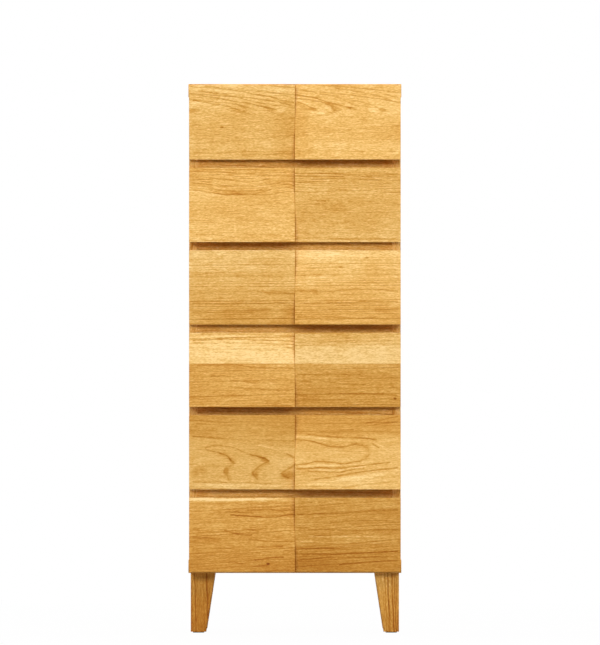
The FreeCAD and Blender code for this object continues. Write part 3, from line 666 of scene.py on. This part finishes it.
FRONT_WOOD[5] = dict(
    heart=(-200, 50), taper=0.01, ring=6.2, bend=3.2, streaks=0.75,
    tone_and_painted_light=((12, 0.24), (50, 0.26), (90, 0.34), (112, 0.48), (118, 0.6), (158, 0.65)),
    figure=((0, 0.4), (20, 0.15), (108, 0.15), (118, 0.35), (158, 0.5)),
    lines=(
        (0.55, 1.3, (-189, 85), (-174, 81), (-160, 77)),
        (0.85, 1.8, (-160, 77), (-147, 73), (-141, 69), (-136, 62)),
        (0.45, 2.6, (-136, 62), (-129, 56), (-138, 49), (-148, 43), (-150, 37), (-143, 30), (-141, 22)),
        (0.45, 1.3, (-189, 85), (-190, 89), (-177, 93), (-160, 94), (-136, 91), (-119, 85)),
        (0.32, 1.6, (-119, 85), (-107, 79), (-95, 74)),
        (0.85, 2.0, (-95, 74), (-82, 71), (-73, 68), (-63, 66), (-56, 61)),
        (0.55, 2.2, (-56, 61), (-63, 57), (-73, 51), (-82, 44), (-90, 36), (-87, 31), (-80, 22)),
        (0.6, 1.8, (-17, 76), (-3, 68)),
        (0.5, 2.0, (0, 54), (-12, 45), (-19, 41), (-29, 34), (-22, 28), (-14, 25)),
        (0.54, 1.3, (-216, 113), (-188, 111), (-160, 109), (-148, 107)),
        (0.25, 1.6, (-148, 107), (-110, 106), (-60, 105)),
        (0.4, 1.3, (-60, 105), (-3, 103)),
        (-0.28, 1.6, (-77, 94), (-54, 89)),
        (-0.16, 2.0, (-54, 89), (-30, 83)),
        (0.47, 1.3, (-216, 16), (-160, 16), (-112, 14), (-51, 13)),
        (0.68, 1.5, (3, 106), (25, 105), (41, 102), (58, 96), (76, 92), (100, 90), (112, 93), (131, 97)),
        (0.4, 2.6, (131, 97), (145, 94), (156, 86), (157, 75), (150, 66), (138, 60)),
        (0.74, 1.4, (138, 60), (119, 58), (105, 54), (84, 57), (62, 59), (43, 59), (25, 55), (3, 52)),
        (0.68, 1.4, (3, 44), (29, 45), (48, 47), (76, 46), (100, 46), (124, 49), (147, 52), (202, 58)),
        (0.54, 1.3, (29, 39), (53, 38), (76, 37), (95, 36), (119, 41), (147, 46)),
        (0.68, 1.4, (43, 23), (74, 26), (100, 30), (138, 37), (171, 41), (218, 47)),
        (0.47, 1.4, (100, 4), (147, 10), (185, 14), (218, 16)),
        (0.68, 1.4, (29, 117), (53, 114), (93, 111), (138, 110), (159, 108), (173, 106)),
        (0.54, 1.5, (166, 97), (178, 89)),
        (0.54, 1.3, (152, 142), (185, 148), (218, 155)),
        (0.47, 1.3, (169, 138), (218, 144)),
        (0.47, 1.3, (95, 126), (124, 127)),
        (0.25, 5.0, (-150, 76), (-135, 65), (-131, 56), (-142, 46), (-146, 36), (-138, 22)),
        (0.25, 5.5, (-80, 72), (-62, 63), (-60, 57), (-74, 47), (-84, 36), (-80, 27)),
        (0.3, 6.0, (150, 92), (156, 80), (151, 68)),
        (-0.28, 2.4, (3, 114), (40, 111), (70, 107)),
        (-0.3, 1.5, (8, 48), (50, 52), (90, 51), (130, 54)),
        (-0.3, 1.5, (30, 42), (76, 41), (100, 41), (150, 50)),
    ),
    stains=(
        (-15, 30, 14, 8, 0.6),
        (-86, 31, 9, 5, 0.35),
        (-72, 69, 14, 3, 0.25, -0.4),
        (-174, 51, 20, 5, 0.18),
        (-202, 43, 15, 7, 0.25),
        (-213, 32, 8, 8, 0.2),
        (110, 122, 110, 4, 0.2),
        (152, 109, 22, 2.4, 0.35, -0.05),
        (-133, 60, 7, 4, 0.25, -0.7),
        (-146, 38, 5, 9, 0.28),
        (-62, 60, 9, 4, 0.28, -0.4),
        (198, 105, 28, 3, -0.22, 0.16),
        (189, 89, 13, 3, -0.2, -0.65),
        (150, 28, 80, 4, -0.28, 0.13),
        (40, 12, 40, 4, -0.2, 0.05),
        (75, 107, 60, 2, -0.15, -0.08),
        (120, 14, 100, 14, -0.15),
        (-110, 9, 100, 2.5, -0.22),
    ),
)
FRONT_WOOD[6] = dict(
    heart=(-120, 60), rise=0.06, taper=0.0, ring=5.5, bend=2.2, streaks=0.95,
    tone_and_painted_light=((12, 0.92), (30, 0.76), (60, 0.76), (90, 0.62), (130, 0.7), (147, 0.52)),
    figure=((0, 0.5), (60, 0.6), (158, 0.6)),
    lines=(
        (0.77, 1.4, (-100, 131), (-89, 132), (-51, 133), (-27, 130), (-1, 132)),
        (0.91, 1.4, (-136, 121), (-98, 118), (-65, 117), (-37, 117), (-18, 121), (0, 122)),
        (0.49, 1.2, (-148, 128), (-89, 126)),
        (0.49, 1.4, (-216, 92), (-203, 90)),
        (0.55, 1.4, (-108, 92), (-95, 91), (-78, 87)),
        (0.7, 1.5, (-216, 73), (-190, 72), (-160, 70)),
        (0.8, 1.6, (-149, 88), (-136, 84), (-122, 80), (-108, 78), (-92, 78)),
        (0.49, 1.3, (-98, 70), (-65, 65), (-27, 64), (-1, 64)),
        (0.42, 1.3, (-216, 50), (-183, 51), (-136, 50)),
        (0.7, 1.3, (-79, 53), (-56, 53), (-27, 54)),
        (0.63, 1.5, (-84, 25), (-51, 30), (-25, 31)),
        (0.56, 1.4, (-127, 20), (-112, 17)),
        (0.42, 1.4, (-93, 12), (-65, 13)),
        (0.49, 1.3, (8, 150), (36, 149)),
        (0.63, 1.3, (6, 123), (76, 124), (138, 128), (171, 130), (218, 132)),
        (0.42, 1.3, (76, 105), (124, 109), (195, 110)),
        (0.49, 1.3, (29, 90), (138, 89), (218, 90)),
        (0.42, 1.3, (39, 76), (76, 77)),
        (-0.38, 1.6, (30, 76), (76, 75), (150, 75), (218, 74)),
        (-0.28, 1.4, (112, 69), (218, 68)),
        (-0.34, 1.6, (12, 66), (76, 63), (150, 63), (218, 62)),
        (0.84, 1.7, (3, 50), (50, 50)),
        (0.6, 1.6, (50, 50), (82, 50)),
        (0.28, 1.4, (82, 50), (130, 51)),
        (0.77, 1.6, (3, 39), (20, 38), (76, 38), (138, 40), (218, 44)),
        (0.49, 1.4, (6, 25), (76, 31), (218, 32)),
        (0.56, 1.4, (95, 15), (147, 20), (218, 24)),
    ),
    stains=(
        (-160, 154, 140, 3.6, -0.85),
        (-130, 146, 90, 3, 0.15),
        (-60, 112, 60, 2.2, -0.25, 0.03),
        (110, 70, 110, 7, -0.06),
        (-57, 17, 4, 2.2, 1.6),
        (-46, 20, 14, 2, 0.3, 0.2),
        (40, 20, 50, 18, 0.18),
    ),
)
# The seam's middle third is a faint corner line; the outer thirds are painted shade of the step.
SEAM_AND_STEP_SHADE = (0.8, 1.1, 0.5), (0.3, 0.4, -0.4), (0.8, -0.5, -1.1)
SEAM_AND_STEP_SHADE_WIDTH = 0.8
LINE_SEED = 3.1
WOOD_SEED = 7.3
LONG_WOBBLE = (0.05, 0.012)
LONG_REACH = 1.0 * MM
SHORT_WOBBLE = (0.012, 0.005)
SHORT_REACH = 0.9 * MM
LINE_FADE = (0.03, 0.01)


def seam_and_step_shade_rows(row):
    """The seam as three lines, with painted step shade near both ends, leaning the other way in the next
    row.
    """
    turn = -1 if row % 2 else 1
    third = FRONT_TALL / MM / 3
    rows = []
    for part, (stain, start, end) in enumerate(SEAM_AND_STEP_SHADE):
        rows.append((stain, SEAM_AND_STEP_SHADE_WIDTH, (turn * start, third * part), (turn * end, third * (part + 1))))
    return rows


def front_features(row):
    """Gives the function that fills the wood group's inputs for one front."""
    board = FRONT_WOOD[row]
    heart_up, heart_depth = board["heart"]

    def features(tree, place):
        up = separate(tree, place)[2]
        loose = bend(tree, place, LONG_WOBBLE, float(row), LONG_REACH)
        loose = bend(tree, loose, SHORT_WOBBLE, float(row), SHORT_REACH)
        seam_and_step_shade = grain_lines(tree, place, seam_and_step_shade_rows(row))
        stains = strokes(tree, loose, board["stains"])
        fade = noise(tree, stretched(tree, place, LINE_FADE, LINE_SEED * row), detail=3.0)
        fade = spread(tree, fade, *FADE_RANGE)
        drawn = times(tree, grain_lines(tree, loose, board["lines"]), fade)
        return {
            "Heart Up": heart_up * MM,
            "Heart Depth": heart_depth * MM,
            "Rise": board.get("rise", 0.0),
            "Taper": board["taper"],
            "Ring": board["ring"] * MM,
            "Bend": board["bend"] * MM,
            "Streaks": board["streaks"],
            "Bulge": strokes(tree, place, board.get("swells", ()), MM),
            "Shade": calc(tree, "ADD", calc(tree, "ADD", stains, seam_and_step_shade), drawn),
            "Figure": by_height(tree, up, board["figure"], FRONT_TALL),
            "Tone And Painted Light": by_height(tree, up, board["tone_and_painted_light"], FRONT_TALL),
            "Seed": WOOD_SEED * row,
        }

    return features


front_finish = {}
for row in ROWS:
    low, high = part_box(f"front_panel_{row}")
    name, origin = f"oak front {row}", (0.0, low.y, low.z)
    front_finish[row] = finish_wood(name, oak_wood, "across the front", origin, front_features(row))
print("front finishes:", sorted(front_finish))

# %% [markdown]
# ## Shaping with operators
#
# New pieces are modelled as by hand: a block is added at its size, its corners are picked and moved
# in edit mode, and modifiers are applied. An operator works on whatever is selected, so the helpers
# below first clear the selection and then pick corners or edges by their place.

# %% Helpers for modelling
NEAR = 0.02 * MM
FLAT_WITHIN = math.radians(0.3)
SMOOTH_BELOW = math.radians(40)


def take(piece):
    """Makes a piece the only selected and the active one."""
    bpy.ops.object.select_all(action="DESELECT")
    piece.select_set(True)
    bpy.context.view_layer.objects.active = piece


def add_block(name, low, high):
    """Adds a block between two corners, with its place in its mesh."""
    bpy.ops.object.select_all(action="DESELECT")
    low, high = Vector(low), Vector(high)
    bpy.ops.mesh.primitive_cube_add(size=1, location=(low + high) / 2, scale=high - low)
    bpy.ops.object.transform_apply(location=True, rotation=False, scale=True)
    block = bpy.context.object
    block.name = block.data.name = name
    return block


def pick(piece, kind, wanted):
    """Enters edit mode with only the wanted corners (VERT) or edges (EDGE) of a piece selected."""
    take(piece)
    bpy.ops.object.mode_set(mode="EDIT")
    bpy.ops.mesh.select_mode(type=kind)
    bpy.ops.mesh.select_all(action="DESELECT")
    bpy.ops.object.mode_set(mode="OBJECT")
    corners = piece.data.vertices
    if kind == "VERT":
        for corner in corners:
            corner.select = wanted(corner.co)
    else:
        for edge in piece.data.edges:
            edge.select = wanted(*(corners[index].co for index in edge.vertices))
    bpy.ops.object.mode_set(mode="EDIT")


def leave():
    """Goes back to object mode."""
    bpy.ops.object.mode_set(mode="OBJECT")


def round_edges(piece, wanted, radius, segments=3):
    """Rounds the wanted edges of a piece."""
    pick(piece, "EDGE", wanted)
    bpy.ops.mesh.bevel(offset=radius, segments=segments, affect="EDGES")
    leave()


def combine(piece, other, operation):
    """Joins another solid to a piece, or takes it away, and deletes the other solid."""
    take(piece)
    bpy.ops.object.modifier_add(type="BOOLEAN")
    modifier = piece.modifiers[-1]
    modifier.operation = operation
    modifier.solver = "EXACT"
    modifier.object = other
    bpy.ops.object.modifier_apply(modifier=modifier.name)
    bpy.data.objects.remove(other)


def weld(piece):
    """Merges doubled corners and dissolves the seams inside flat faces."""
    take(piece)
    bpy.ops.object.mode_set(mode="EDIT")
    bpy.ops.mesh.select_mode(type="VERT")
    bpy.ops.mesh.select_all(action="SELECT")
    bpy.ops.mesh.remove_doubles(threshold=NEAR)
    bpy.ops.mesh.dissolve_limited(angle_limit=FLAT_WITHIN)
    leave()


def smooth(piece):
    """Shades round edges smooth and keeps large faces flat."""
    take(piece)
    bpy.ops.object.shade_smooth_by_angle(angle=SMOOTH_BELOW)
    bpy.ops.object.modifier_add(type="WEIGHTED_NORMAL")
    piece.modifiers[-1].keep_sharp = True
    bpy.ops.object.modifier_apply(modifier=piece.modifiers[-1].name)


def dress(piece, finish):
    """Gives a piece one finish all over."""
    if not piece.material_slots:
        piece.data.materials.append(finish)
    for place in piece.material_slots:
        place.material = finish


# %% [markdown]
# ## Planing the fronts
#
# A real front is one board: the maker planes 14 mm off one edge of each half, at opposite edges, and
# a small step is left in the middle that is deepest at the top and at the bottom. Here each half is
# a block whose front corners are pulled back along one edge. The halves are joined, the finger
# groove is routed into the back of the lower edge with a round-ended cutter, and the outer edges
# are sanded round. The two upright edges of the step stay crisp, as the plane leaves them.

# %% Model the six fronts
LEAN = 14 * MM
PULL_DEEP = 8 * MM
PULL_TALL = 18 * MM
PULL_END_STOP = 40 * MM
CUTTER_RADIUS = 8 * MM
COVE_RADIUS = 4 * MM
CLEAR = 5 * MM
SOFT_EDGE = 0.9 * MM


def half_front(name, low, high, thin_at_bottom):
    """A block with its front face planed back along its lower or its upper edge."""
    half = add_block(name, low, high)
    middle = (low.z + high.z) / 2
    pick(half, "VERT", lambda c: c.y < low.y + NEAR and (c.z < middle) == thin_at_bottom)
    bpy.ops.transform.translate(value=(0, LEAN, 0))
    leave()
    return half


def groove_cutter(low, high):
    """The space that the round-ended cutter takes out behind the lower edge."""
    cutter = add_block(
        "groove",
        (low.x + PULL_END_STOP, high.y - PULL_DEEP, low.z - CLEAR),
        (high.x - PULL_END_STOP, high.y + CLEAR, low.z + PULL_TALL),
    )
    wall = high.y - PULL_DEEP + NEAR
    round_edges(cutter, lambda a, b: max(a.y, b.y) < wall and abs(a.x - b.x) < NEAR, CUTTER_RADIUS, 6)
    top = low.z + PULL_TALL - NEAR
    round_edges(cutter, lambda a, b: min(a.z, b.z) > top and max(a.y, b.y) < wall, COVE_RADIUS, 4)
    return cutter


def outer_edge(low, high):
    """Tells whether an edge lies in the skin of a front: its ends, top, bottom or back."""
    skins = ((0, low.x), (0, high.x), (2, low.z), (2, high.z), (1, high.y))

    def wanted(a, b):
        in_step = abs(a.x) < NEAR and abs(b.x) < NEAR
        return not in_step and any(abs(a[n] - v) < NEAR and abs(b[n] - v) < NEAR for n, v in skins)

    return wanted


def make_front(row):
    """Models one drawer front in place of the CAD one."""
    node = f"front_panel_{row}"
    low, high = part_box(node)
    odd = row % 2 == 1
    front = half_front(f"front_{row}", low, Vector((0, high.y, high.z)), odd)
    right = half_front("right half", Vector((0, low.y, low.z)), high, not odd)
    combine(front, right, "UNION")
    combine(front, groove_cutter(low, high), "DIFFERENCE")
    weld(front)
    round_edges(front, outer_edge(low, high), SOFT_EDGE)
    smooth(front)
    dress(front, front_finish[row])
    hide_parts(node)
    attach(front, f"drawer_{row}")
    return front


fronts = [make_front(row) for row in ROWS]
print("faces in each front:", [len(front.data.polygons) for front in fronts])

# %% [markdown]
# ## Boards, sides, rails and legs
#
# The carcass pieces already have their true shape in the CAD model, with their grooves, tongues and
# tenons, so they need no modelling. What they lack is the sanded edge. A copy of each is welded
# into clean faces, and only some edges are rounded, so that the joinery stays sharp and fits: those
# at the corners of a board's outer box, the four long ones of a leg, and the upper ones of a drawer
# box, where a hand reaches in.

# %% Round the edges of copies
LONG_EDGE = 90 * MM


def box_edge(low, high):
    """Tells whether an edge runs along a corner of the piece's outer box."""

    def sides(point):
        return {(n, v) for n in range(3) for v in (low[n], high[n]) if abs(point[n] - v) < NEAR}

    return lambda a, b: len(sides(a) & sides(b)) >= 2


def leg_edge(a, b):
    """Tells whether an edge runs the whole height of a leg."""
    return abs(a.z - b.z) > LONG_EDGE


def rim_edge(high):
    """Tells whether an edge is a long one of the upper face of a piece."""
    return lambda a, b: min(a.z, b.z) > high.z - NEAR and (a - b).length > LONG_EDGE


def soften(node, radius, finish, wanted, body="carcass"):
    """Makes a copy of a CAD piece with the wanted edges rounded, and shows it instead."""
    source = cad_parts[node]
    copy = bpy.data.objects.new(f"{node}_soft", source.data.copy())
    bpy.context.scene.collection.objects.link(copy)
    weld(copy)
    round_edges(copy, wanted, radius)
    smooth(copy)
    dress(copy, finish)
    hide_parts(node)
    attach(copy, body)
    return copy


def plain_oak(node, lie, heart, ring, tone_and_painted_light, figure, seed):
    """Makes a finish for a plain board. Tone and painted light are given as stops in mm from the lower edge
    up.
    """
    low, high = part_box(node)

    def features(tree, place):
        parts = separate(tree, place)
        up = calc(tree, "ADD", parts[GRAIN[lie].index(2)], (high.z - low.z) / 2)
        return {
            "Heart Up": heart[0] * MM,
            "Heart Depth": heart[1] * MM,
            "Taper": PLAIN_TAPER,
            "Ring": ring * MM,
            "Figure": figure,
            "Tone And Painted Light": by_height(tree, up, tone_and_painted_light, high.z - low.z),
            "Seed": seed,
        }

    return finish_wood(f"oak {node}", oak_wood, lie, (low + high) / 2, features)


BOARD_EDGE = 1.2 * MM
SIDE_EDGE = 0.8 * MM
RIM_EDGE = 1.0 * MM
PLAIN_TAPER = 0.03
TOP_TONE = ((0, 0.15),)
BOTTOM_TONE = ((0, 0.65),)
SIDE_TONE = ((0, 0.3),)
# The rails darken towards their upper edge: painted shade under the lower edges of the fronts.
RAIL_TONE_AND_PAINTED_SHADE = ((0, 0.45), (9, 0.45), (15, 0.72), (20, 0.76))
# The legs grow paler upwards: painted light that lifts the shade under the bottom board.
LEFT_LEG_TONE_AND_PAINTED_LIGHT = ((15, 1.35), (65, 1.13), (110, 0.90))
RIGHT_LEG_TONE_AND_PAINTED_LIGHT = ((15, 0.97), (65, 0.82), (110, 0.60))
LEGS = ("leg_front_left", "leg_front_right", "leg_rear_left", "leg_rear_right")
softened = []
for node, tone_and_painted_light, seed in (("top_board", TOP_TONE, 40.0), ("bottom_board", BOTTOM_TONE, 45.0)):
    finish = plain_oak(node, "flat", (30, 60), 5.0, tone_and_painted_light, 0.7, seed)
    softened.append(soften(node, BOARD_EDGE, finish, box_edge(*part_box(node))))
for node, seed in (("left_side", 60.0), ("right_side", 65.0)):
    finish = plain_oak(node, "upright side", (60, 80), 6.0, SIDE_TONE, 0.7, seed)
    softened.append(soften(node, SIDE_EDGE, finish, box_edge(*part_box(node))))
for count in range(1, 6):
    node = f"front_rail_{count}"
    finish = plain_oak(node, "across the front", (-150, 60), 5.0, RAIL_TONE_AND_PAINTED_SHADE, 0.8, 80.0 + 5 * count)
    softened.append(soften(node, SIDE_EDGE, finish, box_edge(*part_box(node))))
for count, node in enumerate(LEGS):
    tone_and_painted_light = LEFT_LEG_TONE_AND_PAINTED_LIGHT if "left" in node else RIGHT_LEG_TONE_AND_PAINTED_LIGHT
    finish = plain_oak(node, "upright", (-80, 60), 5.0, tone_and_painted_light, 1.2, 120.0 + 5 * count)
    softened.append(soften(node, SIDE_EDGE, finish, leg_edge))
print("softened pieces:", len(softened))

# %% [markdown]
# ## The drawer boxes and the rest
#
# The boxes and the runners are of paulownia: very light, silvery beige wood with thin brown year
# lines, left without any coat so that it can take up damp. The back is thin plywood, the screws
# are zinc-plated and the glides are grey felt.

# %% Paulownia, plywood, steel and felt
KIRI_PALE = (0.80, 0.66, 0.47)
KIRI_DYE = (0.45, 0.62, 0.85)
KIRI_FIGURE = {
    "Heart Up": -0.12,
    "Rise": 0.02,
    "Taper": 0.02,
    "Ring": 0.008,
    "Bend": 0.003,
    "Figure": 0.6,
    "Tone And Painted Light": 0.2,
}
STEEL_ROUGH = (0.25, 0.5)
FUZZ = (0.0006, 0.0006)
FELT_DARK = (0.10, 0.09, 0.08, 1)
FELT_LIGHT = (0.22, 0.20, 0.18, 1)
kiri_wood = make_wood("kiri wood", KIRI_PALE, KIRI_DYE, ring_share=0.7, streak_share=0.5, pore_share=0.2)


def kiri(name, lie, middle, seed):
    """Makes a finish of bare paulownia for a board that lies a certain way."""
    return finish_wood(name, kiri_wood, lie, middle, lambda tree, place: {**KIRI_FIGURE, "Seed": seed})


BOX_LIES = {
    "box_front": "across the front",
    "box_back": "across the front",
    "box_left": "front to back",
    "box_right": "front to back",
    "box_bottom": "flat",
}
for row in ROWS:
    for count, (kind, lie) in enumerate(BOX_LIES.items()):
        node = f"{kind}_{row}"
        low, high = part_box(node)
        finish = kiri(f"kiri {node}", lie, (low + high) / 2, 10.0 * row + count)
        if kind == "box_bottom":
            dress(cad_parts[node], finish)
        else:
            soften(node, RIM_EDGE, finish, rim_edge(high), f"drawer_{row}")
dress(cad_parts["drawer_runners"], kiri("kiri runners", "front to back", (0.0, 0.0, 0.0), 5.0))
low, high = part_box("back_panel")
dress(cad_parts["back_panel"], kiri("ply back", "upright", (low + high) / 2, 3.0))

steel, tree, shader = new_material("zinc steel", {"Base Color": (0.72, 0.73, 0.74, 1), "Metallic": 1.0})
place = put(tree, "ShaderNodeTexCoord").outputs["Object"]
fill(tree, shader, {"Roughness": spread(tree, noise(tree, place, detail=3.0), *STEEL_ROUGH)})
for node in ["runner_screws", "leg_bolts"] + [f"front_screws_{row}" for row in ROWS]:
    dress(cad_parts[node], steel)

felt, tree, shader = new_material("grey felt", {"Roughness": 0.95})
place = put(tree, "ShaderNodeTexCoord").outputs["Object"]
fuzz = noise(tree, stretched(tree, place, FUZZ, 0.0), detail=4.0, rough=0.7)
fill(tree, shader, {"Base Color": mix(tree, fuzz, FELT_DARK, FELT_LIGHT)})
dress(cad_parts["leg_glides"], felt)

# %% [markdown]
# ## Floor, light and background
#
# A studio picture on white: the chest stands on a pale floor with two wide soft lamps in front of
# it, one to each side, and a weaker one above. The halves that lean up catch more of the upper lamp
# than the others. In the middle of a row the lower half always lies in the shade of one front lamp,
# so there is a dark line beside each step, deepened by painted shade along the seam, and both
# together draw the pattern. Three more lamps light the sides and the back for other views. The white
# behind the chest is only what the camera and the reflections see, so it adds no light to the wood.

# %% Floor and background
SEEN_WHITE = 1.0
SKY_LIGHT = 0.075
FLOOR_HALF = 3.0
FLOOR_WHITE_SHARE = 0.98


def seen_share(tree):
    """1 for camera, mirror and glass rays, and 0 for rays that only carry light."""
    rays = put(tree, "ShaderNodeLightPath").outputs
    seen = calc(tree, "MAXIMUM", rays["Is Camera Ray"], rays["Is Glossy Ray"])
    return calc(tree, "MAXIMUM", seen, rays["Is Transmission Ray"])


world = bpy.data.worlds.new("studio")
bpy.context.scene.world = world
world.use_nodes = True
tree = world.node_tree
fill(tree, tree.nodes["Background"], {
    "Color": (1.0, 1.0, 1.0, 1),
    "Strength": spread(tree, seen_share(tree), SKY_LIGHT, SEEN_WHITE),
})

bpy.ops.object.select_all(action="DESELECT")
bpy.ops.mesh.primitive_grid_add(x_subdivisions=2, y_subdivisions=2, size=2 * FLOOR_HALF)
floor = bpy.context.object
floor.name = "floor"
pale, tree, shader = new_material("pale floor", {"Base Color": (0.45, 0.45, 0.44, 1), "Roughness": 0.9})
share = times(tree, seen_share(tree), FLOOR_WHITE_SHARE)
glow = put(tree, "ShaderNodeEmission")
blend = put(tree, "ShaderNodeMixShader", (share, shader.outputs[0], glow.outputs[0]))
fill(tree, tree.nodes["Material Output"], {"Surface": blend.outputs[0]})
dress(floor, pale)

# %% Lamps
def add_lamp(name, place, target, width, height, watts):
    """Adds a rectangular soft lamp that points at a target."""
    lamp = bpy.data.lights.new(name, "AREA")
    lamp.shape = "RECTANGLE"
    lamp.size = width
    lamp.size_y = height
    lamp.energy = watts
    holder = bpy.data.objects.new(name, lamp)
    bpy.context.scene.collection.objects.link(holder)
    holder.location = place
    holder.rotation_euler = (Vector(target) - Vector(place)).to_track_quat("-Z", "Y").to_euler()


middle = (0, -0.2, 0.65)
add_lamp("front left", (-3.1, -5.6, 3.2), middle, 2.6, 1.8, 150)
add_lamp("front right", (3.1, -5.6, 3.2), middle, 2.6, 1.8, 150)
add_lamp("top", (0.0, -2.4, 4.2), middle, 2.4, 1.6, 88)
add_lamp("left", (-4.5, 2.0, 2.5), middle, 2.0, 2.0, 150)
add_lamp("right", (4.5, 2.0, 2.5), middle, 2.0, 2.0, 150)
add_lamp("back", (0.0, 5.5, 3.0), middle, 2.0, 2.0, 220)

# %% [markdown]
# ## The camera
#
# The picture shows no side of the chest and no converging line: it was taken from far away with a
# long lens, level, at half the picture's height. The lens follows from the distance and from how
# much of the front's plane the picture's long side takes in.

# %% Camera
PICTURE_TALL = 645
MM_PER_PIXEL = 2.125
CAMERA_AWAY = 30.0
CAMERA_RIGHT = 10.9 * MM
CAMERA_UP = 659.8 * MM
SENSOR = 36.0

camera = bpy.data.objects.new("camera", bpy.data.cameras.new("camera"))
bpy.context.scene.collection.objects.link(camera)
bpy.context.scene.camera = camera
camera.location = (CAMERA_RIGHT, cad_box[0].y - CAMERA_AWAY, CAMERA_UP)
camera.rotation_euler = (math.radians(90), 0, 0)
camera.data.sensor_width = SENSOR
camera.data.lens = SENSOR * CAMERA_AWAY / (PICTURE_TALL * MM_PER_PIXEL * MM)
camera.data.clip_end = 2 * CAMERA_AWAY
bpy.context.scene.view_settings.view_transform = "Standard"
print("lens in mm:", round(camera.data.lens, 1))
